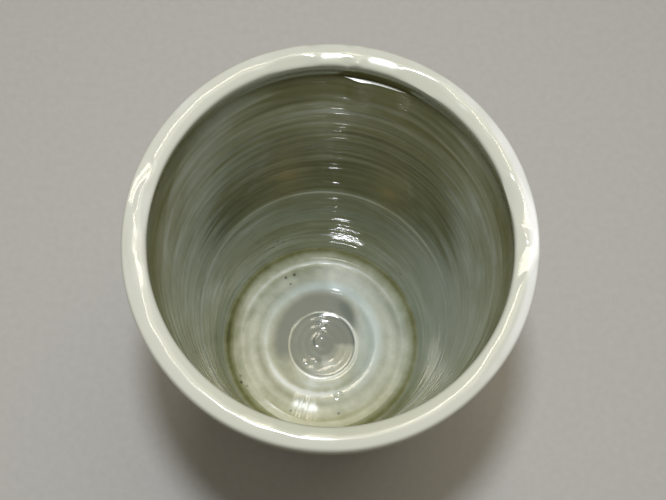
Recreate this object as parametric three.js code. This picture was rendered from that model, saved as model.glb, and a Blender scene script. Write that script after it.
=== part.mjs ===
// Celadon-glazed brush pot: thrown clay sections luted together, and the glaze coats that cover them.
// Millimetres, +Z up. The origin is the centre of the foot ring's underside.

import * as THREE from 'three';

// Overall
const POT_HEIGHT = 160;
const LIP_OUTER_RADIUS = 56;
const BASE_RADIUS = 41; // outside of the wall where it stands on the foot ring

// Lip: a rolled rim, thicker than the wall and standing in over it
const LIP_WIDTH = 6.5;
const LIP_CROWN = 2.4; // from the lip's widest line up to its crest
const LIP_BAND = 12; // from the joint with the wall up to the crest
const LIP_OUTER_OVERHANG = 0.3;

// Wall
const WALL_THICKNESS = 4.6; // clay and both glaze coats
const SEAM_HEIGHT = 67; // where the upper wall is luted to the lower one, seen inside
const LAP_HEIGHT = 4; // overlap of the half-lap at each luted joint
const SEAM_BEAD_RISE = 0.5;
const SEAM_BEAD_HEIGHT = 3.2;

// Foot and floor
const FOOT_HEIGHT = 4.5;
const FOOT_WIDTH = 7;
const FOOT_SET_BACK = 1.2; // the foot ring stands in from the wall
const FOOT_EDGE_RADIUS = 1.2;
const FLOOR_THICKNESS = 6.5; // clay and the glaze on top of it
const FLOOR_SPIGOT = 1.2; // the floor drops into the foot ring by this much
const CORNER_RADIUS = 3; // glaze pooled where the floor meets the wall
const BARE_BAND = 2.5; // clay left unglazed above the foot ring

// Throwing rings on the floor, from the corner to the centre
const OUTER_RING_INSET = 3.1; // from the start of the pooled corner
const MIDDLE_RING_RADIUS = 20.5;
const WELL_RADIUS = 12.6;
const RING_RISE = 0.5;
const RING_VALLEY = 0.3;
const WELL_DEPTH = 1.4;
const WELL_STEP = 0.6;
const NUB_RADIUS = 3;
const NUB_RISE = 0.5;

// Coats
const GLAZE = 0.6;
const BOND = 0.15; // clearance left between pieces that are fired together

// Facets
const ROUND_SEGMENTS = 48;
const CURVE_POINTS = 4;
const FLOOR_POINTS = 16;

// Levels and radii that follow from the sizes above
const COAT = GLAZE + BOND;
const FLOOR_HEIGHT = FOOT_HEIGHT + FLOOR_THICKNESS;
const NECK_HEIGHT = POT_HEIGHT - LIP_BAND;
const NECK_RADIUS = LIP_OUTER_RADIUS - LIP_OUTER_OVERHANG;
const FOOT_OUTER_RADIUS = BASE_RADIUS - FOOT_SET_BACK;
const FOOT_INNER_RADIUS = FOOT_OUTER_RADIUS - FOOT_WIDTH;
const WALL_SLOPE = (NECK_RADIUS - BASE_RADIUS) / (NECK_HEIGHT - FOOT_HEIGHT);
const WALL_LEAN = Math.atan(WALL_SLOPE);

// Glazed faces of the wall, and the clay under them
const outerRadius = (z) => BASE_RADIUS + WALL_SLOPE * (z - FOOT_HEIGHT);
const innerRadius = (z) => outerRadius(z) - WALL_THICKNESS;
const clayOuter = (z) => outerRadius(z) - COAT;
const clayInner = (z) => innerRadius(z) + COAT;
const clayMiddle = (z) => (clayOuter(z) + clayInner(z)) / 2;

// The rounded corner touches the floor and the leaning wall
const CORNER_CENTRE_HEIGHT = FLOOR_HEIGHT + CORNER_RADIUS;
const CORNER_CENTRE_RADIUS = innerRadius(CORNER_CENTRE_HEIGHT) - CORNER_RADIUS / Math.cos(WALL_LEAN);
const CORNER_TOP = CORNER_CENTRE_HEIGHT - CORNER_RADIUS * Math.sin(WALL_LEAN);

const celadon = (color) => new THREE.MeshStandardMaterial({ color, roughness: 0.15, metalness: 0 });
const CLAY = new THREE.MeshStandardMaterial({ color: 0xb79f7e, roughness: 0.85, metalness: 0 });
const WALL_GLAZE = celadon(0x9aa086);
const FLOOR_GLAZE = celadon(0xa9b09c);
const LIP_GLAZE = celadon(0xd2d4c6);

// A solid of revolution about +Z from an outline in (radius, height), run with the solid on its left
function turned(name, outline, material) {
  const onAxis = outline[0].x === 0;
  const profile = onAxis ? outline : [...outline, outline[0].clone()];
  const geometry = new THREE.LatheGeometry(profile, ROUND_SEGMENTS);
  geometry.rotateX(Math.PI / 2);
  const mesh = new THREE.Mesh(geometry, material);
  mesh.name = name;
  return mesh;
}

const point = (radius, height) => new THREE.Vector2(radius, height);

// Bare ring that the pot stands on, with both lower edges rounded
function footRing() {
  const outline = new THREE.Path();
  outline.moveTo(FOOT_INNER_RADIUS, FOOT_HEIGHT);
  outline.lineTo(FOOT_INNER_RADIUS, FOOT_EDGE_RADIUS);
  outline.absarc(FOOT_INNER_RADIUS + FOOT_EDGE_RADIUS, FOOT_EDGE_RADIUS, FOOT_EDGE_RADIUS,
    Math.PI, 1.5 * Math.PI);
  outline.absarc(FOOT_OUTER_RADIUS - FOOT_EDGE_RADIUS, FOOT_EDGE_RADIUS, FOOT_EDGE_RADIUS,
    1.5 * Math.PI, 2 * Math.PI);
  outline.lineTo(FOOT_OUTER_RADIUS, FOOT_HEIGHT);
  return turned('foot_ring', outline.getPoints(2), CLAY);
}

// Floor surface from the centre nub out to the start of the corner, lowered by depth
function floorLine(depth) {
  const well = FLOOR_HEIGHT - WELL_DEPTH;
  const outerRing = CORNER_CENTRE_RADIUS - OUTER_RING_INSET;
  const valley = (MIDDLE_RING_RADIUS + outerRing) / 2;
  const line = new THREE.SplineCurve([
    point(0, well + NUB_RISE - depth),
    point(NUB_RADIUS, well - depth),
    point(WELL_RADIUS - WELL_STEP, well - depth),
    point(WELL_RADIUS + WELL_STEP, well + WELL_STEP - depth),
    point(MIDDLE_RING_RADIUS, FLOOR_HEIGHT + RING_RISE - depth),
    point(valley, FLOOR_HEIGHT - RING_VALLEY - depth),
    point(outerRing, FLOOR_HEIGHT + RING_RISE - depth),
    point(CORNER_CENTRE_RADIUS, FLOOR_HEIGHT - depth),
  ]);
  return line.getPoints(FLOOR_POINTS);
}

// Clay floor: it rests on the foot ring, drops into it by a spigot, and the wall stands round it
function floorSlab() {
  const seat = FOOT_HEIGHT + BOND;
  const spigotRadius = FOOT_INNER_RADIUS - BOND;
  const spigotHeight = FOOT_HEIGHT - FLOOR_SPIGOT;
  const edgeTop = FLOOR_HEIGHT - COAT;
  const outline = [
    point(0, spigotHeight),
    point(spigotRadius, spigotHeight),
    point(spigotRadius, seat),
    point(clayInner(seat) - BOND, seat),
    point(clayInner(edgeTop) - BOND, edgeTop),
    ...floorLine(COAT).reverse(),
  ];
  return turned('floor_slab', outline, CLAY);
}

// A ring of wall between two joints; a lapped joint has its tongue inside, rising from the lower ring
function wallRing(name, lowerJoint, lappedBelow, upperJoint) {
  const innerFoot = lowerJoint + BOND;
  const outerFoot = lappedBelow ? innerFoot - LAP_HEIGHT : innerFoot;
  const outerTop = upperJoint - LAP_HEIGHT;
  const outline = [point(clayInner(innerFoot), innerFoot)];
  if (lappedBelow) {
    outline.push(point(clayMiddle(innerFoot) + BOND / 2, innerFoot));
    outline.push(point(clayMiddle(outerFoot) + BOND / 2, outerFoot));
  }
  outline.push(
    point(clayOuter(outerFoot), outerFoot),
    point(clayOuter(outerTop), outerTop),
    point(clayMiddle(outerTop) - BOND / 2, outerTop),
    point(clayMiddle(upperJoint) - BOND / 2, upperJoint),
    point(clayInner(upperJoint), upperJoint),
  );
  return turned(name, outline, CLAY);
}

// Outside of the lip, from its joint up over the crest and down inside, drawn in by inset on all sides
function lipLine(inset) {
  const foot = NECK_HEIGHT + BOND;
  const outerNeck = outerRadius(foot) - inset;
  const innerNeck = innerRadius(foot) + inset;
  const centre = LIP_OUTER_RADIUS - LIP_WIDTH / 2;
  const halfWidth = LIP_WIDTH / 2 - inset;
  const widest = POT_HEIGHT - LIP_CROWN;
  const middle = (widest + foot) / 2;
  const line = new THREE.Path();
  line.moveTo(outerNeck, foot);
  line.bezierCurveTo(outerNeck, middle, centre + halfWidth, middle, centre + halfWidth, widest);
  line.absellipse(centre, widest, halfWidth, LIP_CROWN - inset, 0, Math.PI);
  line.bezierCurveTo(centre - halfWidth, middle, innerNeck, middle, innerNeck, foot);
  return line.getPoints(CURVE_POINTS);
}

// Clay core of the lip, lapped over the top of the wall
function lipRoll() {
  const innerFoot = NECK_HEIGHT + BOND;
  const outerFoot = innerFoot - LAP_HEIGHT;
  const outline = [
    point(clayMiddle(innerFoot) + BOND / 2, innerFoot),
    point(clayMiddle(outerFoot) + BOND / 2, outerFoot),
    point(clayOuter(outerFoot), outerFoot),
    ...lipLine(COAT),
  ];
  return turned('lip_roll', outline, CLAY);
}

// Glaze over the lip, a thin shell down to the joint on both sides
function lipGlaze() {
  const outside = lipLine(0);
  const inside = lipLine(GLAZE).reverse();
  return turned('lip_glaze', [...outside, ...inside], LIP_GLAZE);
}

// Glaze on the floor, thin over the throwing rings and pooled to a round corner against the wall
function floorGlaze() {
  const edge = FLOOR_HEIGHT - GLAZE;
  const corner = new THREE.Path();
  corner.absarc(CORNER_CENTRE_RADIUS, CORNER_CENTRE_HEIGHT, CORNER_RADIUS, -WALL_LEAN, -Math.PI / 2, true);
  const outline = [
    ...floorLine(GLAZE),
    point(innerRadius(edge) + GLAZE, edge),
    point(innerRadius(CORNER_TOP) + GLAZE, CORNER_TOP),
    ...corner.getPoints(CURVE_POINTS),
    ...floorLine(0).reverse().slice(1),
  ];
  return turned('floor_glaze', outline, FLOOR_GLAZE);
}

// Glaze inside the wall, swelling to a bead over the luted seam
function innerWallGlaze() {
  const foot = CORNER_TOP + BOND;
  const top = NECK_HEIGHT;
  const beadFoot = SEAM_HEIGHT - SEAM_BEAD_HEIGHT / 2;
  const beadTop = SEAM_HEIGHT + SEAM_BEAD_HEIGHT / 2;
  const outline = new THREE.Path();
  outline.moveTo(innerRadius(foot) + GLAZE, foot);
  outline.lineTo(innerRadius(top) + GLAZE, top);
  outline.lineTo(innerRadius(top), top);
  outline.lineTo(innerRadius(beadTop), beadTop);
  outline.quadraticCurveTo(innerRadius(SEAM_HEIGHT) - 2 * SEAM_BEAD_RISE, SEAM_HEIGHT,
    innerRadius(beadFoot), beadFoot);
  outline.lineTo(innerRadius(foot), foot);
  return turned('inner_wall_glaze', outline.getPoints(CURVE_POINTS), WALL_GLAZE);
}

// Glaze outside the wall, ending in a rounded line above the bare foot
function outerWallGlaze() {
  const foot = FOOT_HEIGHT + BARE_BAND;
  const top = NECK_HEIGHT;
  const rim = GLAZE / 2;
  const outline = new THREE.Path();
  outline.moveTo(outerRadius(top), top);
  outline.lineTo(outerRadius(top) - GLAZE, top);
  outline.lineTo(outerRadius(foot) - GLAZE, foot);
  outline.absarc(outerRadius(foot) - rim, foot, rim, Math.PI, 2 * Math.PI);
  return turned('outer_wall_glaze', outline.getPoints(CURVE_POINTS / 2), WALL_GLAZE);
}

// Glaze on the underside of the floor, inside the foot ring
function baseGlaze() {
  const top = FOOT_HEIGHT - FLOOR_SPIGOT - BOND;
  const radius = FOOT_INNER_RADIUS - BOND;
  const outline = [
    point(0, top - GLAZE),
    point(radius - GLAZE, top - GLAZE),
    point(radius, top),
    point(0, top),
  ];
  return turned('base_glaze', outline, WALL_GLAZE);
}

const brushPot = new THREE.Group();
brushPot.add(
  footRing(),
  floorSlab(),
  wallRing('lower_wall', FOOT_HEIGHT, false, SEAM_HEIGHT),
  wallRing('upper_wall', SEAM_HEIGHT, true, NECK_HEIGHT),
  lipRoll(),
  floorGlaze(),
  innerWallGlaze(),
  lipGlaze(),
  outerWallGlaze(),
  baseGlaze(),
);

export default brushPot;
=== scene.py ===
import math

import bmesh
import bpy
import numpy as np
from mathutils import Matrix, Vector


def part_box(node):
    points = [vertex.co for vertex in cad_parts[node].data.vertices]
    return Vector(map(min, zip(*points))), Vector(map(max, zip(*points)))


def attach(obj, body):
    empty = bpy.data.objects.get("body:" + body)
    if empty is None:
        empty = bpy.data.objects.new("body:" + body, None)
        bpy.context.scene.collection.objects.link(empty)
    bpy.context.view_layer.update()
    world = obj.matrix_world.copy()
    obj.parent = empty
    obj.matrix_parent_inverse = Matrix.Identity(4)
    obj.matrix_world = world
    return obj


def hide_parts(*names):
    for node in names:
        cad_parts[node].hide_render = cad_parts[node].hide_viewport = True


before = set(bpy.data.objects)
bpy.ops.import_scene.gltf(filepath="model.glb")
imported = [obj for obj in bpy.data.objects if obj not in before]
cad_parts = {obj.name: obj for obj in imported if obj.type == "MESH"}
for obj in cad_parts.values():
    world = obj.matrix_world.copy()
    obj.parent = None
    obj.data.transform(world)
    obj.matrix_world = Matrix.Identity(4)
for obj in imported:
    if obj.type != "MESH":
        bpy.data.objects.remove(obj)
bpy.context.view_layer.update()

# Units
MM = 0.001
TURN = 2 * math.pi

# Fineness: columns round the pot, rows along the outlines, and the angle that counts as an edge
COLUMNS = 480
NECK_ROWS = 16
SHOULDER_ROWS = 12
CROWN_ROWS = 44
LEDGE_ROWS = 40
WALL_ROWS = 420
CORNER_ROWS = 26
FLOOR_ROWS = 260
OUTER_ROWS = 160
SHARP_ANGLE = math.radians(50)

# Directions round the pot as the camera sees it, in degrees
RIGHT = 0
BACK = 90
LEFT = 180
NEAR = -90

# Sizes from the frame, in metres
lip_low, lip_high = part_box("lip_glaze")
outer_low, outer_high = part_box("outer_wall_glaze")
inner_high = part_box("inner_wall_glaze")[1]
floor_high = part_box("floor_glaze")[1]
SEAM_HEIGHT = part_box("lower_wall")[1].z
POT_HEIGHT = lip_high.z
LIP_RADIUS = lip_high.x
NECK_HEIGHT = lip_low.z
CORNER_TOP = floor_high.z
OUTER_BOTTOM = outer_low.z

# The glaze: its thickness, and how far a coat's body reaches behind its plain surface
GLAZE = 0.6 * MM
COAT_BACK = 0.45 * MM
INNER_NECK = inner_high.x - GLAZE
INNER_CORNER = floor_high.x - GLAZE
OUTER_NECK = outer_high.x
WALL_SLOPE = (INNER_NECK - INNER_CORNER) / (inner_high.z - CORNER_TOP)

# The mouth is a little out of round, as thrown pots are
OVAL = 0.0059
OVAL_AXIS = math.radians(81)
NECK_OVAL_SHARE = 0.3
INNER_OVAL = 0.0091
INNER_OVAL_AXIS = math.radians(96)

# The lip and its crest
LIP_WIDTH = 6.5 * MM
LIP_DIP = 0.35 * MM
WIDEST_HEIGHT = POT_HEIGHT - 2.4 * MM
OUTER_SLOPE = 0.32
INNER_SLOPE = 0.50
SHOULDER = 1.0 * MM
SLOPE_STEP = 0.1 * MM
LIP_BACK_INSET = 1.2 * MM
CREST_ROUND = 2.0 * MM
CREST_SHIFT = 0.2 * MM
CREST_WANDER = 0.16 * MM
HEIGHT_WANDER = 0.12 * MM

# The lip's flat spots: slopes that send a lamp's light to the camera, levels under the crest, and bows
BACK_TILT = 0.274
BACK_GLINT = 0.93 * MM
RIGHT_TILT = 0.143
LEFT_TILT = 0.069
SPOT_LEVEL = 0.2 * MM
LOW_SPOT_LEVEL = 0.02 * MM
SPOT_REACH = 2 * MM
NEAR_BOW = 0.08
LOWER_RIGHT_BOW = 0.009
UPPER_LEFT_BOW = 0.045
LOWER_LEFT_BOW = 0.025

# Inside the wall: the ring where the two sections meet, and the edge of the lip's thicker glaze
SEAM_STEP = 0.25 * MM
SEAM_FADE = 40 * MM
UPPER_RING = 137 * MM
LEDGE = 1.15 * MM
LEDGE_TILT = 0.262
LEDGE_BAND = 0.8 * MM
LEDGE_FADE = 26 * MM

# The small ledges on the far side: bands as lowest, highest (mm) and count; tilt at the foot and per metre
TERRACE_BANDS = ((72, 142, 16), (20, 64, 14), (18, 30, 8))
TERRACE_AT = 86
TERRACE_TILT = 0.148
TERRACE_TILT_RISE = 0.77
TERRACE_FADE = 2.5 * MM

# The painted shade on the far side of the wall, where it mirrors only the dark near wall: its edges at the
# seam, and their lean in degrees per mm
DARK_RIGHT = 19
DARK_LEFT = 155
DARK_RIGHT_LEAN = 0.46
DARK_LEFT_LEAN = -0.62
DARK_SOFT = math.radians(26)

# The outside of the wall
OUTER_INSET = 0.1 * MM
OUTER_LINES = 0.05 * MM
OUTER_ENDS = 3 * MM

# The floor: heights, slopes, and rings given as radii
WELL_FLOOR = 10.2 * MM
WELL_RADIUS = 12.9 * MM
WELL_CENTRE = (0.55 * MM, -1.0 * MM)
BOWL_DEPTH = 0.2 * MM
RIPPLE_SPACING = 2.9 * MM
DISH_SLOPE = 0.16
DISH_EDGE = 20.8 * MM
SAUCER_SLOPE = 0.035
HOT_PATCH = 25.5 * MM
OUTER_RING = 31.2 * MM
RIM_SLOPE = -0.1
RIM_END = 34 * MM
CORNER_RADIUS = 3.8 * MM
CORNER_POOL = 1.5 * MM
CORNER_SQUARENESS = 1.25
UNDERSIDE = 9 * MM

# Finger dents in the floor: place, length and width (mm), and the tilts that catch the two lamps
WELL_DENTS = ((-6.4, -7.2, 1.7, 0.7), (-3.8, -9.7, 2.3, 0.8), (-0.4, -11.0, 1.8, 0.6),
              (2.8, -9.6, 1.6, 0.7), (3.8, -7.2, 1.3, 0.6), (-3.0, -6.6, 1.8, 0.5))
DISH_DENT = (5.8, 20.7, 3.4, 1.1)
WARM_TILT = (0.031, -0.058)
KEY_TILT = (0.016, 0.075)

# Dark specks: azimuth and height (mm) on the wall; azimuth, distance and size (mm) on the floor
WALL_SPECKS = ((113, 26), (116, 28.5), (119, 25), (39, 24))
FLOOR_SPECKS = ((119, 28.9, 0.45), (112, 28.6, 0.5), (118, 25.8, 0.3), (208, 34.4, 0.5),
                (204, 33.6, 0.3), (212, 33.2, 0.3), (247, 29.1, 0.35), (284, 28.5, 0.4))

# How deep the glaze lies, from 0 where it is thin to 1 where it pools, and the relief that makes it pool
LIP_POOL = 0.15
WALL_POOL = 0.305
# The far wall's extra depth is painted shade
FAR_WALL_SHADE = 0.37
FLOOR_POOL = 0.43
OUTER_POOL = 0.5
OUTER_POOLING = 0.4 * MM

# Colours of the glaze, from thin to deep, then what lies in it or over it: clouds and painted sheen,
# painted shade, painted warm light and reflection, and specks
GLAZE_WHITE = (0.95, 0.955, 0.92)
LIP_WHITE = (0.86, 0.865, 0.87)
MILK = (0.82, 0.84, 0.77)
MIST = (0.72, 0.77, 0.73)
PALE = (0.63, 0.64, 0.57)
SAND = (0.64, 0.64, 0.50)
CREAM = (0.60, 0.61, 0.52)
GREEN_GREY = (0.40, 0.41, 0.28)
OLIVE = (0.24, 0.24, 0.11)
DEEP_OLIVE = (0.12, 0.12, 0.05)
CLOUD_AND_SHEEN_WHITE = (0.60, 0.695, 0.69)
SHADE_GREY = (0.205, 0.23, 0.20)
PAINTED_WARM_REFLECTION = (0.48, 0.37, 0.16)
PAINTED_WARM_GOLD = (0.53, 0.50, 0.22)
SPECK = (0.06, 0.05, 0.035)

# Other looks
DARK_CLAY = (0.34, 0.22, 0.13)
LIGHT_CLAY = (0.52, 0.38, 0.25)
CLAY_ROUGHNESS = 0.8
WALL_ROUGHNESS = 0.07
LIP_ROUGHNESS = 0.12
FLOOR_ROUGHNESS = 0.12
DULLING = 0.2
CLEAR_POLISH = -0.06
WALL_INDEX = 1.4
RELIEF = 0.2 * MM

# A Mix node's sockets for colours, by number
MIX_COLOUR = 6
MIX_TINT = 7
MIX_RESULT = 2

# The stage, with its half width in metres
STAGE_HALF = 3.0
STAGE_DARK = (0.58, 0.575, 0.57)
STAGE_LIGHT = (0.63, 0.625, 0.62)
STAGE_ROUGHNESS = 0.9

# Camera and light: places and sizes in millimetres of the pot's own frame, the picture's in pixels
FRAME_WIDTH = 666
SENSOR_WIDTH = 36
FOCAL_PIXELS = 1157
CAMERA_AT = (-7.42, -83.19, 452.0)
CAMERA_PITCH = math.radians(15.221)
CAMERA_YAW = math.radians(-1.536)
CAMERA_ROLL = math.radians(0.321)
CAMERA_CLIP = 10
KEY_AT = (-15, 8, 596)
KEY_ACROSS = 44
KEY_WATTS = 1.4
KEY_COLOUR = (0.90, 0.95, 0.99)
FILL_AT = (-75, 480, 1660)
FILL_ACROSS = 240
FILL_WATTS = 1.6
FILL_COLOUR = (1.0, 0.92, 0.76)
SOFT_AT = (260, 430, 1600)
SOFT_ACROSS = 900
SOFT_WATTS = 4.2
SOFT_COLOUR = (1.0, 0.89, 0.70)
AMBIENT = (1.0, 0.91, 0.74, 1)
AMBIENT_LEVEL = 0.18

azimuth = np.linspace(0, TURN, COLUMNS, endpoint=False)[:, None]


# Helpers for shapes

def clamp(t):
    """t, kept between 0 and 1."""
    return np.clip(t, 0, 1)


def smooth(t):
    """An S-curve from 0 to 1 with level ends."""
    return t * t * (3 - 2 * t)


def ease(t):
    """The S-curve, staying at 0 below 0 and at 1 above 1."""
    return smooth(clamp(t))


def away_from(angle):
    """How far round each azimuth lies from one angle, from minus half a turn to half a turn."""
    return (azimuth - angle + math.pi) % TURN - math.pi


def swell(centre_degrees, width_degrees):
    """A soft bump round one azimuth, 1 at its middle."""
    away = away_from(math.radians(centre_degrees))
    return np.exp(-(away / math.radians(width_degrees)) ** 2)


def stretch(first_degrees, last_degrees, soft_degrees, skew_degrees=0.0):
    """A bump that stays at 1 from one azimuth to another, with soft ends and perhaps a skew."""
    middle = math.radians((first_degrees + last_degrees) / 2)
    half = math.radians((last_degrees - first_degrees) / 2)
    away = np.abs(away_from(middle - np.radians(skew_degrees)))
    return ease(1 - (away - half) / math.radians(soft_degrees))


def ridge(position, centre, width):
    """A soft bump across a profile, 1 at its middle."""
    return np.exp(-((position - centre) / width) ** 2)


def band(position, centre, width):
    """A ridge whose middle and width are given in millimetres."""
    return ridge(position, centre * MM, width * MM)


def incline(position, start, end, slope, soft):
    """A steady rise between two positions, with softly bent ends."""
    since_start = np.logaddexp(0, (position - start) / soft)
    since_end = np.logaddexp(0, (position - end) / soft)
    return slope * soft * (since_start - since_end)


def drift(seed, waves, most_turns):
    """Slow seeded wandering round the pot, about -1 to 1."""
    rng = np.random.default_rng(seed)
    total = np.zeros_like(azimuth)
    for _ in range(waves):
        turns = rng.integers(1, most_turns + 1)
        phase = rng.uniform(0, TURN)
        total = total + np.sin(turns * azimuth + phase)
    return total / math.sqrt(waves)


def throwing_lines(along, seed, count, shortest, longest):
    """Fine seeded lines that run round the pot and climb a little, as fingers leave them."""
    rng = np.random.default_rng(seed)
    total = np.zeros(np.broadcast_shapes(along.shape, azimuth.shape))
    for _ in range(count):
        spacing = rng.uniform(shortest, longest)
        climb = rng.integers(-2, 3)
        phase = rng.uniform(0, TURN)
        wander = 0.8 * np.sin(rng.integers(1, 5) * azimuth + rng.uniform(0, TURN))
        total = total + np.sin(TURN * along / spacing + climb * azimuth + phase + wander)
    return total / math.sqrt(count)


def finger_arcs(height, seed, count, thinnest, thickest, shortest, longest):
    """Single seeded lines of limited length, standing in or out by up to 1."""
    rng = np.random.default_rng(seed)
    total = np.zeros(np.broadcast_shapes(height.shape, azimuth.shape))
    for _ in range(count):
        centre = rng.uniform(0, 360)
        middle = rng.uniform(height.min(), height.max())
        thickness = rng.uniform(thinnest, thickest)
        span = rng.uniform(shortest, longest)
        climb = rng.uniform(-1, 1) * MM
        amount = rng.uniform(-1, 1)
        line = middle + climb * away_from(math.radians(centre))
        total = total + amount * swell(centre, span) * ridge(height, line, thickness)
    return total


def all_round(row):
    """One row of values, repeated at every azimuth."""
    return np.broadcast_to(row, (COLUMNS, row.shape[1]))


def outer_oval(share=1.0):
    """The outside's radius at each azimuth as a part of its longest; a share under 1 is less oval."""
    return 1 - share * OVAL * (1 - np.cos(2 * (azimuth - OVAL_AXIS)))


def inner_oval(share=1.0):
    """The inside's radius at each azimuth as a part of its longest; a share under 1 is less oval."""
    return 1 - share * INNER_OVAL * (1 - np.cos(2 * (azimuth - INNER_OVAL_AXIS)))


def lathe_faces(columns, rows, on_axis):
    """Faces between neighbouring outlines; those that start and end on the axis close there in fans."""
    index = np.arange(columns * rows).reshape(columns, rows)
    after = np.roll(index, -1, axis=0)
    if not on_axis:
        index_up = np.roll(index, -1, axis=1)
        after_up = np.roll(after, -1, axis=1)
        return np.stack([index, after, after_up, index_up], axis=2).reshape(-1, 4).tolist()
    quads = np.stack([index[:, 1:-2], after[:, 1:-2], after[:, 2:-1], index[:, 2:-1]], axis=2)
    low = np.stack([index[:, 1], after[:, 1], np.full(columns, index[0, 0])], axis=1)[:, ::-1]
    high = np.stack([index[:, -2], after[:, -2], np.full(columns, index[0, -1])], axis=1)
    return quads.reshape(-1, 4).tolist() + low.tolist() + high.tolist()


def drop_loose_points(mesh):
    """Takes out the points on the axis that no face uses."""
    body = bmesh.new()
    body.from_mesh(mesh)
    loose = [point for point in body.verts if not point.link_faces]
    bmesh.ops.delete(body, geom=loose, context="VERTS")
    body.to_mesh(mesh)
    body.free()


def revolve(name, radius, height, material, replaced, layers):
    """A closed body: one outline for each azimuth, anticlockwise, closed on itself or on the axis.

    The layers are the numbers kept on its points, by name.
    """
    on_axis = radius[0, 0] == 0
    points = np.stack([radius * np.cos(azimuth), radius * np.sin(azimuth), height], axis=2)
    mesh = bpy.data.meshes.new(name)
    mesh.from_pydata(points.reshape(-1, 3).tolist(), [], lathe_faces(*radius.shape, on_axis))
    for layer_name, values in layers.items():
        layer = mesh.attributes.new(layer_name, "FLOAT", "POINT")
        values = np.broadcast_to(values, radius.shape).astype(np.float32)
        layer.data.foreach_set("value", values.ravel())
    if on_axis:
        drop_loose_points(mesh)
    mesh.polygons.foreach_set("use_smooth", np.ones(len(mesh.polygons), dtype=bool))
    mesh.set_sharp_from_angle(angle=SHARP_ANGLE)
    piece = bpy.data.objects.new(name, mesh)
    bpy.context.scene.collection.objects.link(piece)
    piece.data.materials.append(material)
    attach(piece, "root")
    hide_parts(*replaced)
    return piece


# Helpers for materials

def new_material(name):
    """An empty node material and its Principled shader."""
    material = bpy.data.materials.new(name)
    material.use_nodes = True
    return material, material.node_tree, material.node_tree.nodes["Principled BSDF"]


def add(tree, kind, inputs, **settings):
    """Adds a node, sets its options, and sets or links its inputs."""
    node = tree.nodes.new(kind)
    for option, value in settings.items():
        setattr(node, option, value)
    for socket, value in inputs.items():
        if isinstance(value, bpy.types.NodeSocket):
            tree.links.new(value, node.inputs[socket])
        else:
            node.inputs[socket].default_value = value
    return node


def ramp(tree, factor, stops):
    """A colour ramp with the given (position, colour) stops."""
    node = add(tree, "ShaderNodeValToRGB", {"Fac": factor})
    elements = node.color_ramp.elements
    while len(elements) < len(stops):
        elements.new(0.5)
    for element, (position, colour) in zip(elements, stops):
        element.position = position
        element.color = (*colour, 1)
    return node.outputs["Color"]


def stretched_noise(tree, scale, detail, roughness):
    """Noise on the object's own coordinates, with its own scale along each axis."""
    place = add(tree, "ShaderNodeTexCoord", {}).outputs["Object"]
    mapped = add(tree, "ShaderNodeMapping", {"Vector": place, "Scale": scale}).outputs["Vector"]
    inputs = {"Vector": mapped, "Scale": 1.0, "Detail": detail, "Roughness": roughness}
    return add(tree, "ShaderNodeTexNoise", inputs).outputs["Fac"]


def calculate(tree, operation, *values):
    """The result of a Math node on sockets and plain numbers."""
    return add(tree, "ShaderNodeMath", dict(enumerate(values)), operation=operation).outputs[0]


def tinted(tree, factor, colour, tint):
    """A colour socket with a plain colour mixed over it."""
    inputs = {"Factor": factor, MIX_COLOUR: colour, MIX_TINT: (*tint, 1)}
    return add(tree, "ShaderNodeMix", inputs, data_type="RGBA").outputs[MIX_RESULT]


def layer_value(tree, name):
    """One of the numbers kept on the mesh's points."""
    return add(tree, "ShaderNodeAttribute", {}, attribute_name=name).outputs["Fac"]


def roughen(tree, shader, height, strength):
    """Gives the surface a fine relief that follows one socket."""
    inputs = {"Height": height, "Strength": strength, "Distance": RELIEF}
    tree.links.new(add(tree, "ShaderNodeBump", inputs).outputs[0], shader.inputs["Normal"])


def link_dull_roughness(tree, shader, roughness):
    """Makes the glaze rougher where it is dull; the roughness is a number or a socket."""
    total = calculate(tree, "MULTIPLY_ADD", layer_value(tree, "dull"), DULLING, roughness)
    tree.links.new(total, shader.inputs["Roughness"])


def celadon(name, stops, tints, streak_scale, cloud_scale, streak_share, relief):
    """Celadon glaze: pale where it is thin, olive where it pools, streaked by the throwing.

    Each tint is a point layer that says where a colour lies over the glaze; some tints are painted sheen,
    shade and warm light, and the pool layer carries painted shade and light as well.
    """
    material, tree, shader = new_material(name)
    streaks = stretched_noise(tree, streak_scale, 6.0, 0.6)
    clouds = stretched_noise(tree, cloud_scale, 4.0, 0.55)
    mottle = calculate(tree, "ADD", streaks, clouds)
    centred = calculate(tree, "SUBTRACT", mottle, 1.0)
    depth = calculate(tree, "MULTIPLY_ADD", centred, streak_share, layer_value(tree, "pool"))
    colour = ramp(tree, depth, stops)
    for layer_name, tint in tints.items():
        colour = tinted(tree, layer_value(tree, layer_name), colour, tint)
    tree.links.new(colour, shader.inputs["Base Color"])
    roughen(tree, shader, streaks, relief)
    return material, tree, shader


def wall_celadon():
    """The wall's glaze, with long level streaks; duller along the edge under the lip."""
    stops = [(0.0, MIST), (0.35, GREEN_GREY), (0.65, OLIVE), (1.0, DEEP_OLIVE)]
    # Over the glaze: a painted sheen low on the sides, and a painted warm reflection on the far wall
    tints = {"cloud_and_sheen": CLOUD_AND_SHEEN_WHITE, "painted_warm_light": PAINTED_WARM_REFLECTION, "speck": SPECK}
    material, tree, shader = celadon(
        "wall_celadon", stops, tints,
        streak_scale=(14, 14, 420), cloud_scale=(60, 60, 60), streak_share=0.55, relief=0.03)
    link_dull_roughness(tree, shader, WALL_ROUGHNESS)
    shader.inputs["IOR"].default_value = WALL_INDEX
    return material


def lip_celadon():
    """The lip's thin, pale glaze."""
    stops = [(0.0, LIP_WHITE), (0.15, PALE), (0.45, CREAM), (0.75, GREEN_GREY), (1.0, OLIVE)]
    material, _, shader = celadon(
        "lip_celadon", stops, {},
        streak_scale=(90, 90, 90), cloud_scale=(60, 60, 60), streak_share=0.12, relief=0.02)
    shader.inputs["Roughness"].default_value = LIP_ROUGHNESS
    return material


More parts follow.
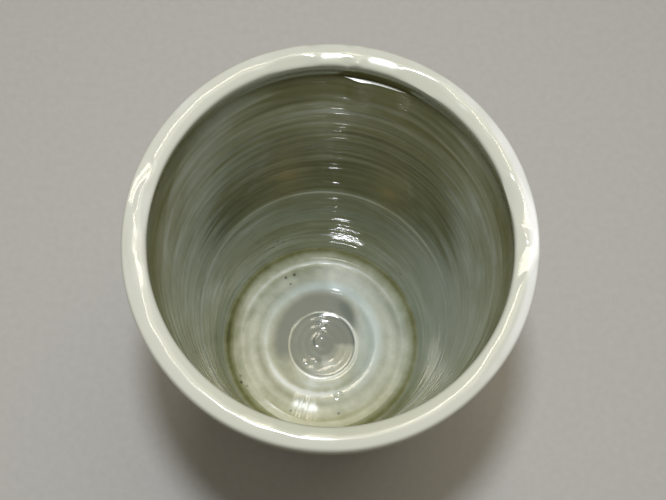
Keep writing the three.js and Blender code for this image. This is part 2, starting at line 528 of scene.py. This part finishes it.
def floor_celadon():
    """The floor's glaze, pooled and milky, glossier in the well and the far dish; its tints carry painted
    shade, painted warm light and painted reflections.
    """
    stops = [(0.0, GLAZE_WHITE), (0.12, MILK), (0.3, SAND), (0.55, GREEN_GREY), (0.8, OLIVE),
             (1.0, DEEP_OLIVE)]
    tints = {"cloud_and_sheen": CLOUD_AND_SHEEN_WHITE, "clear_grey_and_shade": SHADE_GREY, "painted_warm_light": PAINTED_WARM_GOLD, "speck": SPECK}
    material, tree, shader = celadon(
        "floor_celadon", stops, tints,
        streak_scale=(200, 200, 200), cloud_scale=(75, 75, 75), streak_share=0.5, relief=0.10)
    clear_grey_and_shade = layer_value(tree, "clear_grey_and_shade")
    polished = calculate(tree, "MULTIPLY_ADD", clear_grey_and_shade, CLEAR_POLISH, FLOOR_ROUGHNESS)
    link_dull_roughness(tree, shader, polished)
    return material


def bare_clay():
    """Unglazed buff clay with a fine grain and a warm flush."""
    material, tree, shader = new_material("bare_clay")
    grain = stretched_noise(tree, (900, 900, 900), 5.0, 0.6)
    colour = ramp(tree, grain, [(0.3, DARK_CLAY), (0.7, LIGHT_CLAY)])
    tree.links.new(colour, shader.inputs["Base Color"])
    shader.inputs["Roughness"].default_value = CLAY_ROUGHNESS
    roughen(tree, shader, grain, 0.4)
    return material


# The lip

def lip_edges():
    """Radius of the lip's outer edge, its inner edge and the wall under it, at each azimuth."""
    inside = inner_oval()
    return LIP_RADIUS * outer_oval(), (LIP_RADIUS - LIP_WIDTH) * inside, INNER_NECK * inside


def lip_crest(outer, inner):
    """Radius of the lip's crest, which wanders between the two edges."""
    crest = (outer + inner) / 2 + CREST_SHIFT + CREST_WANDER * drift(3, 9, 40)
    crest = crest - 1.2 * MM * swell(-27, 17) + 1.0 * MM * swell(168, 7)
    return crest - 0.8 * MM * swell(190, 14) + 0.7 * MM * swell(57, 9)


def plain_fall(across):
    """How far the rounded lip falls away from its crest; the inner side is steeper."""
    bend = CREST_ROUND * (1 - 0.5 * swell(258, 25) - 0.65 * stretch(58, 106, 6))
    inner_slope = INNER_SLOPE - 0.32 * stretch(80.5, 84, 1.5)
    slope = np.where(across > 0, OUTER_SLOPE, inner_slope)
    return slope * (np.sqrt(across ** 2 + bend ** 2) - bend)


def flat_spot(across, level, tilt, bow):
    """How far a nearly flat spot lies below the crest."""
    return level - tilt * across + bow * across ** 2 / MM


def spot_reach(across):
    """1 over the middle of the lip's top, 0 at its sides."""
    return np.exp(-(across / SPOT_REACH) ** 4)


def flat_spots(across):
    """The lip's flat spots at the back, near, right and left: each one's fall, and where it lies."""
    tight = 0.03 + 0.12 * (1 - stretch(71, 78, 4) - stretch(88, 93, 3))
    back_tilt = 2 * tight * BACK_GLINT / MM - BACK_TILT
    back_arcs = stretch(69, 79.5, 2.5) + stretch(85, 96, 2.5)
    yield flat_spot(np.abs(across), 0, back_tilt, tight), back_arcs
    near_arcs = stretch(246, 253, 3) + stretch(264, 270, 3)
    yield flat_spot(across, 0, 0, NEAR_BOW), near_arcs
    upper_bow = 0.014 + 0.10 * (1 - swell(2, 10))
    notch = 0.85 * stretch(0, 1, 2.4, 0.8 * across / MM)
    upper_right = stretch(-2, 17, 5) * (1 - notch)
    yield flat_spot(across, SPOT_LEVEL, RIGHT_TILT, upper_bow), upper_right
    lower_right = stretch(-9, -4, 4, -1.8 * across / MM)
    yield flat_spot(across, SPOT_LEVEL, RIGHT_TILT, LOWER_RIGHT_BOW), lower_right
    from_upper = across - 1.6 * MM * ease((azimuth - math.radians(157)) / math.radians(14))
    upper_left = stretch(158, 171, 3, 0.8 * across / MM) * spot_reach(from_upper)
    yield flat_spot(from_upper, SPOT_LEVEL, LEFT_TILT, UPPER_LEFT_BOW), upper_left
    from_lower = across - 0.1 * MM + 0.9 * MM * (1 - swell(183.5, 4.5))
    lower_left = (stretch(179, 185.5, 2) + stretch(188.5, 196, 2)) * spot_reach(from_lower)
    yield flat_spot(from_lower, LOW_SPOT_LEVEL, LEFT_TILT, LOWER_LEFT_BOW), lower_left


def lip_top(radius, outer, inner):
    """Height of the lip's rounded top, with its flat spots and one small drip."""
    across = radius - lip_crest(outer, inner)
    fall = plain_fall(across)
    for spot, share in flat_spots(across):
        fall = fall * (1 - share) + spot * share
    drip = 0.08 * MM * swell(-46.5, 1.6) * band(across, 0.9, 0.7)
    return POT_HEIGHT - LIP_DIP + HEIGHT_WANDER * drift(8, 5, 9) - fall + drip


def lip_shoulder(edge, side, outer, inner):
    """The round from the lip's widest line to its top; side is 1 for the outer edge, -1 for the inner."""
    turn = np.linspace(0, 1, SHOULDER_ROWS)[None, 1:-1]
    far = edge - side * SHOULDER
    far_height = lip_top(far, outer, inner)
    fall = (far_height - lip_top(far + side * SLOPE_STEP, outer, inner)) / SLOPE_STEP
    corner_height = far_height - fall * SHOULDER
    radius = edge * (1 - turn ** 2) + far * turn ** 2
    height = WIDEST_HEIGHT * (1 - turn) ** 2 + 2 * corner_height * turn * (1 - turn)
    return radius, height + far_height * turn ** 2


def lip_outline():
    """The lip at each azimuth: neck, outer edge, crown, inner edge, neck, and the hidden back."""
    outer, inner, neck_inner = lip_edges()
    neck_outer = OUTER_NECK * outer_oval(NECK_OVAL_SHARE)
    rise = np.linspace(0, 1, NECK_ROWS)[None, :]
    up = all_round(NECK_HEIGHT + (WIDEST_HEIGHT - NECK_HEIGHT) * rise)
    outer_neck = neck_outer + (outer - neck_outer) * smooth(rise)
    inner_neck = inner + (neck_inner - inner) * smooth(rise)
    outer_radius, outer_height = lip_shoulder(outer, 1, outer, inner)
    inner_radius, inner_height = lip_shoulder(inner, -1, outer, inner)
    share = np.linspace(0, 1, CROWN_ROWS)[None, :]
    crown = outer - SHOULDER + (inner - outer + 2 * SHOULDER) * share
    crown_height = lip_top(crown, outer, inner)
    back_radius = [neck_inner + COAT_BACK, inner + LIP_BACK_INSET, (inner + outer) / 2,
                   outer - LIP_BACK_INSET, neck_outer - COAT_BACK]
    back_side = WIDEST_HEIGHT - 1 * MM
    back_top = POT_HEIGHT - 2 * MM
    back_height = all_round(np.array([[NECK_HEIGHT, back_side, back_top, back_side, NECK_HEIGHT]]))
    radius = [outer_neck, outer_radius, crown, inner_radius[:, ::-1], inner_neck, *back_radius]
    height = [up, outer_height, crown_height, inner_height[:, ::-1], up[:, ::-1], back_height]
    return np.concatenate(radius, axis=1), np.concatenate(height, axis=1)


def make_lip(material):
    """The thick pale lip; inside, its glaze runs down into the darker wall."""
    radius, height = lip_outline()
    outer, inner, _ = lip_edges()
    inwards = (outer + inner) / 2 - radius
    inside = ease(inwards / (1 * MM))
    inner_face = ease(inwards / (3 * MM) + 0.5)
    run = 1.8 * MM + 4.5 * MM * swell(BACK, 80)
    down = ease((POT_HEIGHT - 1.7 * MM - height) / run)
    outside_down = ease((POT_HEIGHT - 2.5 * MM - height) / (8 * MM))
    near = swell(NEAR, 55)
    # The inner face is drawn creamier than the outer one, as painted warm light from inside the pot
    pool = (0.3 + 0.1 * near) * inner_face + 0.12 * near * (1 - inner_face)
    pool = pool + 0.64 * inside * down + 0.5 * (1 - inside) * outside_down
    # Painted light: lighter on the right, which faces away from the lamps, and on the inner face at the
    # left, where highlights lie
    pool = pool - 0.15 * swell(RIGHT, 45) - 0.33 * swell(LEFT, 45) * inner_face * (1 - down)
    layers = {"pool": LIP_POOL + pool}
    return revolve("lip", radius, height, material, ["lip_glaze", "lip_roll"], layers)


# The inside of the wall

def terraces():
    """The small ledges that fingers left on the far side: height, azimuth, half width and depth."""
    rng = np.random.default_rng(71)
    heights = [rng.uniform(lowest, highest, count) for lowest, highest, count in TERRACE_BANDS]
    for up in np.concatenate(heights) * MM:
        low_down = ease((64 * MM - up) / (40 * MM))
        degrees = TERRACE_AT + rng.uniform(-1.5, 1.5) - 10 * low_down
        half = rng.uniform(2, 3.5) * (1 + 2 * low_down ** 2)
        depth = rng.uniform(0.008, 0.018) * MM * (1 + 0.9 * low_down)
        yield up, degrees, half, depth


def terrace_tilt(up):
    """The slope of a ledge's top that sends the key lamp's light to the camera."""
    return TERRACE_TILT + TERRACE_TILT_RISE * up


def terrace_relief(height):
    """How far the small ledges stand in."""
    total = np.zeros(np.broadcast_shapes(height.shape, azimuth.shape))
    for up, degrees, half, depth in terraces():
        under = up - height
        out = depth * stretch(degrees - half, degrees + half, 1)
        top = clamp(under / (terrace_tilt(up) * depth))
        total = total + out * top * clamp(1 - under / TERRACE_FADE)
    return total


def seam_relief(height):
    """The step and the bead of the ring where the two sections meet."""
    below = SEAM_HEIGHT + 0.5 * MM * drift(23, 3, 3) - height
    step = SEAM_STEP * ease(below / (1.4 * MM)) * clamp(1 - below / SEAM_FADE)
    bead = (0.03 + 0.10 * swell(80, 50)) * MM * band(below, 0.4, 0.45)
    return step + bead


def ledge_relief(height):
    """The edge of the lip's thicker glaze: a narrow ledge at the back, hardly there elsewhere."""
    drop = NECK_HEIGHT - height
    ledge = LEDGE * (0.04 + 0.96 * stretch(69, 82, 9) * (1 + 0.25 * drift(61, 6, 40)))
    ledge = ledge * (1 - 0.5 * ease((math.radians(76) - azimuth) / math.radians(16)))
    return ledge * clamp(drop / (LEDGE_TILT * ledge)) * clamp(1 - drop / LEDGE_FADE)


def inner_relief(height):
    """How far the inside of the wall stands in from its plain cone."""
    calm_top = ease((height - NECK_HEIGHT + 32 * MM) / (24 * MM))
    calm = (1 - 0.88 * calm_top * (1 - 0.7 * swell(88, 32))) * (1 - 0.65 * swell(-65, 85))
    fine = 0.012 * MM * (0.8 + 0.4 * drift(29, 4, 5))
    lines = fine * throwing_lines(height, 11, 14, 1.3 * MM, 3.5 * MM)
    lines = lines + 0.035 * MM * throwing_lines(height, 17, 6, 6 * MM, 14 * MM)
    lines = lines + 0.07 * MM * finger_arcs(height, 43, 70, 0.5 * MM, 1.6 * MM, 6, 24)
    ring = 0.08 * MM * ridge(height, UPPER_RING, 0.7 * MM) * (0.3 + 0.7 * swell(110, 30))
    fade = clamp((NECK_HEIGHT - height) / (1 * MM)) * clamp((height - CORNER_TOP) / (2 * MM))
    marks = lines * calm + seam_relief(height) + ring + terrace_relief(height)
    return marks * fade + ledge_relief(height)


def painted_far_shade(height):
    """The far part of the wall, drawn darker as painted shade where it mirrors only the dark near wall:
    widest just above the seam.
    """
    above = (height - SEAM_HEIGHT) / MM
    wander = 4 * throwing_lines(height, 113, 5, 3 * MM, 9 * MM)
    right_edge = DARK_RIGHT + DARK_RIGHT_LEAN * above + wander
    left_edge = DARK_LEFT + DARK_LEFT_LEAN * above + wander
    middle = np.radians((right_edge + left_edge) / 2)
    half = np.radians((left_edge - right_edge) / 2)
    return ease(0.8 - (np.abs(away_from(middle)) - half) / DARK_SOFT)


def under_lip_shade(height):
    """Painted shade in bands under the lip on both sides, where the wall mirrors no bright floor; their
    lower edges slant to the near side.
    """
    degrees = (np.degrees(azimuth) + 90) % 360 - 90
    left_edge = (143.5 - 0.45 * (degrees - 145) - 4 * swell(175, 14)) * MM
    right_edge = (127.5 + 0.6 * np.clip(degrees, 0, 35)) * MM
    left = 0.24 * stretch(150, 200, 14) * ease((height - left_edge) / (3 * MM) + 0.5)
    right = 0.14 * stretch(-30, 12, 14) * ease((height - right_edge) / (3 * MM) + 0.5)
    return (left + right) * ease((NECK_HEIGHT - height) / (6 * MM))


def wall_depth_and_shade(height):
    """How deep the glaze lies on the inside of the wall, with painted light in it: painted shade darkest
    on the far side and under the lip, painted reflections of the pale floor high on the back and just
    above the floor.
    """
    # Painted shade: the far side is drawn darker above the seam, and its back below the seam too
    dark = painted_far_shade(height)
    above = ease((height - SEAM_HEIGHT + 1 * MM) / (6 * MM))
    far_side = dark * above + (0.45 * swell(93, 54) + 0.25 * swell(46, 24)) * (1 - above)
    right_top = 0.08 * swell(RIGHT, 40) * ease((height - 100 * MM) / (30 * MM))
    # Painted reflections of the pale floor: lighter in a band high on the back wall, and just above the
    # floor
    back_top = -0.35 * swell(93, 30) * band(height, 127, 10)
    corner = (-0.33 + 0.10 * swell(BACK, 60)) * ridge(height, CORNER_TOP, 12 * MM)
    seam = -0.16 * ridge(height, SEAM_HEIGHT - 2 * MM, 2 * MM) * (0.4 + 0.6 * swell(150, 40))
    seam = seam - 0.22 * ridge(height, SEAM_HEIGHT - 0.2 * MM, 0.5 * MM) * (0.2 + 0.8 * swell(85, 55))
    streaks = 0.20 * finger_arcs(height, 91, 220, 0.4 * MM, 2.0 * MM, 4, 18)
    sides = ridge(dark, 0.5, 0.35)
    streaks = streaks + 0.30 * sides * finger_arcs(height, 107, 110, 1.0 * MM, 4 * MM, 6, 22)
    bands = 0.10 * throwing_lines(height, 97, 6, 4 * MM, 11 * MM) * swell(BACK, 50)
    bands = bands * ease((height - SEAM_HEIGHT) / (20 * MM))
    depth = WALL_POOL + FAR_WALL_SHADE * far_side + right_top + back_top + corner + seam
    return depth + streaks + bands + under_lip_shade(height)


def wall_warm_reflection(height):
    """A painted reflection of the warm-lit near wall on the far wall: two broken golden-brown patches
    above the seam.
    """
    patches = swell(107, 8) + 0.8 * swell(60, 8)
    broken = clamp(0.45 + 0.9 * finger_arcs(height, 83, 240, 0.8 * MM, 3 * MM, 2, 7))
    return clamp(patches) * band(height, 84, 18) * broken


def wall_painted_sheen(height):
    """A painted bluish-white sheen, the pale floor's reflection, low on the right, and a fainter one on
    the left.
    """
    low = ease((95 * MM - height) / (50 * MM))
    return (0.62 * swell(-2, 35) + 0.25 * swell(185, 35)) * low


def wall_dull(height):
    """The edge under the lip at the back, where the glaze is less glossy towards the right."""
    return ridge(height, NECK_HEIGHT - 0.15 * MM, 0.35 * MM) * stretch(50, 76, 12)


def wall_specks(height):
    """A few dark pinholes in the wall's glaze."""
    total = 0
    for degrees, up in WALL_SPECKS:
        total = total + swell(degrees, 1.0) * band(height, up, 0.35)
    return clamp(1.5 * total)


def rear_rows(values):
    """The three rows that a wall's back keeps: the first, the middle and the last."""
    return values[:, [0, values.shape[1] // 2, -1]]


def make_inner_wall(material):
    """The inside of the wall, with throwing lines and the ring where the two sections meet."""
    ledge_end = NECK_HEIGHT - LEDGE_BAND
    ledge_rows = np.linspace(NECK_HEIGHT, ledge_end, LEDGE_ROWS, endpoint=False)
    wall_rows = np.linspace(ledge_end, CORNER_TOP, WALL_ROWS)
    terrace_rows = []
    for up, _, _, depth in terraces():
        terrace_rows += [up, up - terrace_tilt(up) * depth]
    height = np.sort(np.concatenate([ledge_rows, wall_rows, terrace_rows]))[None, ::-1]
    share = (height - CORNER_TOP) / (NECK_HEIGHT - CORNER_TOP)
    plain = (INNER_CORNER + (height - CORNER_TOP) * WALL_SLOPE) * inner_oval(share)
    front = plain - inner_relief(height)
    height = all_round(height)
    radius = np.concatenate([front, rear_rows(plain + COAT_BACK)[:, ::-1]], axis=1)
    heights = np.concatenate([height, rear_rows(height)[:, ::-1]], axis=1)
    layers = {"pool": wall_depth_and_shade(heights), "cloud_and_sheen": wall_painted_sheen(heights), "speck": wall_specks(heights),
              "painted_warm_light": wall_warm_reflection(heights), "dull": wall_dull(heights)}
    return revolve("inner_wall", radius, heights, material, ["inner_wall_glaze"], layers)


# The floor

def from_spot(distance, spot_x, spot_y):
    """How far each point of the floor lies from one spot on it, along x and along y."""
    return distance * np.cos(azimuth) - spot_x, distance * np.sin(azimuth) - spot_y


def from_mark(distance, degrees, out):
    """How far each point of the floor lies from a mark at one azimuth and distance."""
    angle = math.radians(degrees)
    return np.hypot(*from_spot(distance, out * math.cos(angle), out * math.sin(angle)))


def well_distance(distance):
    """Distance from the well's own centre, which lies a little off the pot's axis."""
    return np.hypot(*from_spot(distance, *WELL_CENTRE))


def outer_ring():
    """Radius of the outer ring at each azimuth; it lies a little towards the back."""
    return OUTER_RING + MM * (0.5 * np.sin(azimuth) + 0.4 * np.cos(azimuth) + 0.15 * drift(21, 3, 3))


def dish_edge():
    """Radius of the dish's edge at each azimuth; it lies nearer in on the near and right sides."""
    return DISH_EDGE - 1.3 * MM * swell(-50, 70)


def hot_patch(distance):
    """The dull, finely streaked spot on the near side of the floor."""
    streaked = 0.8 + 0.2 * drift(77, 8, 160)
    return ridge(distance, HOT_PATCH, 3.2 * MM) * stretch(-108, -98, 9) * streaked


def well_relief(distance):
    """The shallow bowl of the well, its edge, its ripples and the nub in its middle."""
    middle = well_distance(distance)
    bowl = BOWL_DEPTH * clamp(middle / WELL_RADIUS) ** 4
    edge = 0.06 * MM * ridge(middle, WELL_RADIUS, 0.6 * MM - 0.25 * MM * swell(BACK, 60))
    inside = clamp((WELL_RADIUS - middle) / (1.5 * MM)) * clamp((middle - 3 * MM) / (2 * MM))
    waves = np.cos(TURN * (middle - 10.15 * MM) / RIPPLE_SPACING)
    ripples = (0.008 + 0.042 * swell(92, 24)) * MM * waves * inside
    spiral = 1.8 * MM + 0.6 * MM * np.sin(azimuth - 0.6)
    nub = 0.10 * MM * ridge(distance, spiral, 0.8 * MM) * (0.5 + 0.5 * np.cos(azimuth - 2.6))
    return bowl + edge + ripples + nub * clamp(distance / (1.0 * MM))


def floor_dents(distance):
    """Small finger dents: some in the near side of the well, one at the back of the dish."""
    dents = [(*dent, *WARM_TILT) for dent in WELL_DENTS]
    dents.append((*DISH_DENT, *KEY_TILT))
    total = 0
    for out_x, out_y, length, width, tilt_x, tilt_y in dents:
        along_x, along_y = from_spot(distance, out_x * MM, out_y * MM)
        reach = math.hypot(out_x, out_y)
        outward = (along_x * out_x + along_y * out_y) / reach
        sideways = (along_y * out_x - along_x * out_y) / reach
        near = np.exp(-(outward / (width * MM)) ** 2 - (sideways / (length * MM)) ** 2)
        total = total + (tilt_x * along_x + tilt_y * along_y) * near
    return total


def floor_relief(distance):
    """The floor's height above the well's middle: the well, a dish, a saucer with a ring, and the rim."""
    ring = outer_ring()
    steepness = DISH_SLOPE * (1 - 0.60 * swell(BACK, 65))
    dish = incline(well_distance(distance), WELL_RADIUS + 0.8 * MM, dish_edge(), steepness, 0.5 * MM)
    saucer = incline(distance, dish_edge(), ring - 1 * MM, SAUCER_SLOPE, 0.4 * MM)
    rim_start = ring + 0.4 * MM - 1.6 * MM * swell(NEAR, 80)
    rim_slope = RIM_SLOPE * (1 - 1.35 * swell(NEAR, 90))
    rim = incline(distance, rim_start, RIM_END, rim_slope, 0.4 * MM)
    broken = (0.15 + 0.85 * swell(92, 40)) * (0.8 + 0.3 * drift(55, 6, 30))
    ring_crest = 0.09 * MM * ridge(distance, ring, 0.55 * MM) * broken
    bulge = -0.07 * (distance - HOT_PATCH) * hot_patch(distance)
    bubble = 0.09 * MM * band(from_mark(distance, -72, 21.8 * MM), 1.2, 0.35)
    large = well_relief(distance) + dish + saucer + rim
    return large + ring_crest + bulge + bubble + floor_dents(distance)


def corner_depth(distance):
    """The glaze that pooled in the corner between floor and wall."""
    deepest = INNER_CORNER - CORNER_POOL + 0.6 * MM * swell(BACK, 50) + 0.5 * MM * swell(RIGHT, 45)
    join = (0.17 + 0.26 * swell(BACK, 60)) * ease((distance - deepest) / (1.0 * MM))
    most = 0.42 - 0.08 * swell(RIGHT, 50) + 0.05 * swell(BACK, 50)
    pool = np.maximum(most * ridge(distance, deepest, 1.2 * MM), join)
    return pool + 0.14 * band(distance, 34.2, 1.7) * (1 - 0.6 * swell(RIGHT, 45))


def crest_depth_and_highlight(distance):
    """The glaze that ran off the outer ring, the dish's edge and the well's edge, with a painted highlight
    on the dish's edge at the near left.
    """
    ring_share = 1 - 0.9 * swell(-85, 60) + 1.2 * swell(92, 45)
    ring = -0.13 * ring_share * ridge(distance, outer_ring(), 0.7 * MM)
    # The extra lightness on the near left of the dish's edge is a painted highlight
    near_ring = swell(-115, 50)
    dish_width = 0.8 * MM + 0.5 * MM * near_ring
    dish = -(0.16 + 0.36 * near_ring) * ridge(distance, dish_edge() + 0.6 * MM, dish_width)
    well = -0.20 * ridge(well_distance(distance), WELL_RADIUS, 0.3 * MM)
    return ring + dish + well


def valley_depth(distance):
    """The glaze between the dish's edge and the outer ring, and the rings it lies in."""
    rings = 0.16 * band(distance, 24.2, 0.9) * (0.5 - 0.5 * np.cos(azimuth - 0.5))
    rings = rings + 0.08 * ridge(distance, outer_ring() - 1.9 * MM, 0.9 * MM)
    rings = rings - 0.10 * band(distance, 26.8, 1.2)
    sides = 0.26 * band(distance, 27.6, 2.8) * swell(92, 45)
    sides = sides + 0.10 * band(distance, 25.5, 3) * swell(RIGHT, 35)
    sides = sides + 0.03 * band(distance, 27, 4) * swell(LEFT, 40)
    near = 0.20 * band(distance, 30.5, 0.9) + 0.06 * band(distance, 27.5, 4)
    near_lines = 0.12 * band(distance, 28.9, 0.8) + 0.09 * band(distance, 32, 0.8)
    return rings + sides + near * swell(-80, 60) - near_lines * swell(NEAR, 50)


def floor_depth_and_light(distance):
    """How deep the glaze lies on the floor: pooled in the corner, thin on the rings, with painted shade
    and light in the dish.
    """
    # Painted shade and light: the dish drawn darker at the back and lighter on the near and right sides
    dish_share = 1 - 4.0 * swell(NEAR, 45) - 2.5 * swell(RIGHT, 40)
    dish = 0.10 * ease((19.5 * MM - distance) / (2.5 * MM)) * dish_share
    plain = FLOOR_POOL - 0.12 * swell(BACK, 50)
    return plain + corner_depth(distance) + crest_depth_and_highlight(distance) + valley_depth(distance) + dish


def floor_cloud(distance):
    """Where bluish-white clouds lie in the glaze: round the dish's edge, most at the back and right."""
    outer_band = 0.45 * band(distance, 27.5, 2.4) * (1 - 0.6 * swell(92, 45))
    bands = (band(distance, 22, 2.6) + outer_band) * (0.5 + 0.45 * np.cos(azimuth - 1.0))
    dish = 0.42 * stretch(-30, 20, 30) * band(distance, 17.5, 4)
    right_rim = 0.3 * swell(RIGHT, 40) * band(distance, 31.8, 2.2)
    return clamp(bands + dish + right_rim)


def floor_warm_light(distance):
    """Painted warm light on the floor: the near rim, where the warm lamp falls, and painted golden glints
    on the near side of the well.
    """
    rim = 0.45 * band(distance, 32, 3.5) * swell(NEAR, 55)
    well = 0.10 * band(well_distance(distance), 9, 3) * swell(-100, 40)
    return rim + well


def floor_grey_and_shade(distance):
    """Grey over the well and the far half of the dish round it, where the glaze is also glossier: painted
    shade on the far dish, which mirrors no lamp, and in the well a grey made lighter by a painted
    reflected wedge at the near right and on its near side.
    """
    middle = well_distance(distance)
    wedge = stretch(-80, -12, 14) * ease((middle - 3 * MM) / (5 * MM))
    near = swell(-95, 35) * ease((middle - 6 * MM) / (4 * MM))
    tone = 0.93 - 0.6 * wedge - 0.3 * near * (1 - wedge) - 0.11 * np.cos(azimuth - 2.8)
    tone = tone + 0.05 * np.cos(TURN * (middle - 9 * MM) / RIPPLE_SPACING)
    well = ease((WELL_RADIUS - middle) / (0.8 * MM)) * tone
    edge = 20.4 * MM + 2.0 * MM * swell(BACK, 45) - 3.0 * MM * swell(20, 25)
    dish = ease((edge - distance) / (4.5 * MM)) * stretch(40, 190, 35)
    dish = 0.92 * dish * ease((middle - WELL_RADIUS) / (0.6 * MM))
    return clamp(well + dish)


def floor_dull(distance):
    """Where the floor is less glossy: the streaked spot, and a little at the back on the right."""
    return hot_patch(distance) + 0.25 * stretch(55, 95, 20) * band(distance, 27, 4)


def floor_specks(distance):
    """A few dark specks in the floor's glaze."""
    total = 0
    for degrees, out, size in FLOOR_SPECKS:
        total = total + band(from_mark(distance, degrees, out * MM), 0, size)
    return clamp(1.3 * total)


def make_floor(material):
    """The floor inside, with the pooled corner, the rings and the well."""
    flat_end = INNER_CORNER - CORNER_RADIUS
    distance = np.linspace(flat_end, 0, FLOOR_ROWS)[None, :]
    front_height = WELL_FLOOR + floor_relief(distance)
    front_height[:, -1] = front_height[:, -1].mean()
    rim_height = front_height[:, :1]
    turn = np.linspace(0, math.pi / 2, CORNER_ROWS)[None, :-1]
    power = 2 / CORNER_SQUARENESS
    corner_radius = flat_end + (INNER_CORNER - flat_end) * np.cos(turn) ** power
    corner_height = CORNER_TOP + (rim_height - CORNER_TOP) * np.sin(turn) ** power
    low_edge = rim_height.min() - GLAZE
    low_radius = INNER_CORNER + 0.2 * MM
    under_radius = np.array([[0, WELL_RADIUS, flat_end, low_radius, INNER_CORNER + COAT_BACK]])
    under_height = np.array([[UNDERSIDE, UNDERSIDE, low_edge, low_edge, CORNER_TOP]])
    radius = all_round(np.concatenate([under_radius, corner_radius, distance], axis=1))
    height = np.concatenate([all_round(under_height), corner_height, front_height], axis=1)
    layers = {"pool": floor_depth_and_light(radius), "cloud_and_sheen": floor_cloud(radius), "clear_grey_and_shade": floor_grey_and_shade(radius),
              "painted_warm_light": floor_warm_light(radius), "speck": floor_specks(radius), "dull": floor_dull(radius)}
    return revolve("floor", radius, height, material, ["floor_glaze"], layers)


# The outside of the wall, and the CAD nodes that stay

def make_outer_wall(material):
    """The outside of the wall with its soft throwing marks."""
    share = np.linspace(0, 1, OUTER_ROWS)[None, :]
    height = OUTER_BOTTOM + (NECK_HEIGHT - OUTER_BOTTOM) * share
    bottom_radius = OUTER_NECK - (NECK_HEIGHT - OUTER_BOTTOM) * WALL_SLOPE
    plain = bottom_radius + (OUTER_NECK - bottom_radius) * share
    plain = plain * outer_oval(NECK_OVAL_SHARE * share)
    lines = OUTER_LINES * throwing_lines(height, 41, 12, 3 * MM, 12 * MM)
    ends = clamp((NECK_HEIGHT - height) / OUTER_ENDS) * clamp((height - OUTER_BOTTOM) / OUTER_ENDS)
    front = plain - (OUTER_INSET + lines) * ends
    height = all_round(height)
    radius = np.concatenate([front, rear_rows(plain - COAT_BACK)[:, ::-1]], axis=1)
    heights = np.concatenate([height, rear_rows(height)[:, ::-1]], axis=1)
    pool = OUTER_POOL + (plain - front - OUTER_INSET) / OUTER_POOLING
    layers = {"pool": np.concatenate([pool, rear_rows(pool)], axis=1)}
    return revolve("outer_wall", radius, heights, material, ["outer_wall_glaze"], layers)


def dress(node_name, material):
    """Gives a CAD node that stays its material."""
    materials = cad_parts[node_name].data.materials
    materials.clear()
    materials.append(material)


# Stage, light and camera

def make_stage():
    """A plain pale floor, wide enough to fill every view."""
    half = STAGE_HALF
    mesh = bpy.data.meshes.new("stage_floor")
    corners = [(-half, -half, 0), (half, -half, 0), (half, half, 0), (-half, half, 0)]
    mesh.from_pydata(corners, [], [(0, 1, 2, 3)])
    floor = bpy.data.objects.new("stage_floor", mesh)
    bpy.context.scene.collection.objects.link(floor)
    material, tree, shader = new_material("stage")
    grain = stretched_noise(tree, (350, 350, 350), 3.0, 0.5)
    colour = ramp(tree, grain, [(0.2, STAGE_DARK), (0.8, STAGE_LIGHT)])
    tree.links.new(colour, shader.inputs["Base Color"])
    shader.inputs["Roughness"].default_value = STAGE_ROUGHNESS
    mesh.materials.append(material)


def make_world():
    """Dim, slightly warm light from all round, and a pale background."""
    world = bpy.data.worlds.new("studio")
    bpy.context.scene.world = world
    world.use_nodes = True
    background = world.node_tree.nodes["Background"]
    background.inputs["Color"].default_value = AMBIENT
    background.inputs["Strength"].default_value = AMBIENT_LEVEL


def make_lamp(name, place, across, watts, colour):
    """A round soft lamp that faces the pot."""
    data = bpy.data.lights.new(name, "AREA")
    data.shape = "DISK"
    data.size = across * MM
    data.energy = watts
    data.color = colour
    lamp = bpy.data.objects.new(name, data)
    lamp.location = [value * MM for value in place]
    aim = Vector((0, 0, POT_HEIGHT)) - lamp.location
    lamp.rotation_euler = aim.to_track_quat("-Z", "Y").to_euler()
    bpy.context.scene.collection.objects.link(lamp)


def make_camera():
    """The camera, steeply above the near side of the mouth."""
    data = bpy.data.cameras.new("camera")
    data.sensor_fit = "HORIZONTAL"
    data.sensor_width = SENSOR_WIDTH
    data.lens = FOCAL_PIXELS * SENSOR_WIDTH / FRAME_WIDTH
    data.clip_start = CAMERA_CLIP * MM
    camera = bpy.data.objects.new("camera", data)
    turn = Matrix.Rotation(CAMERA_YAW, 4, "Y") @ Matrix.Rotation(CAMERA_PITCH, 4, "X")
    turn = turn @ Matrix.Rotation(CAMERA_ROLL, 4, "Z")
    camera.matrix_world = Matrix.Translation([value * MM for value in CAMERA_AT]) @ turn
    bpy.context.scene.collection.objects.link(camera)
    bpy.context.scene.camera = camera


# The pot
wall_material = wall_celadon()
clay_material = bare_clay()
make_lip(lip_celadon())
make_inner_wall(wall_material)
make_floor(floor_celadon())
make_outer_wall(wall_material)
for clay_node in ("foot_ring", "floor_slab", "lower_wall", "upper_wall"):
    dress(clay_node, clay_material)
dress("base_glaze", wall_material)

# Its surroundings
make_stage()
make_world()
make_lamp("key", KEY_AT, KEY_ACROSS, KEY_WATTS, KEY_COLOUR)
make_lamp("fill", FILL_AT, FILL_ACROSS, FILL_WATTS, FILL_COLOUR)
make_lamp("soft", SOFT_AT, SOFT_ACROSS, SOFT_WATTS, SOFT_COLOUR)
make_camera()
bpy.context.scene.view_settings.view_transform = "Standard"
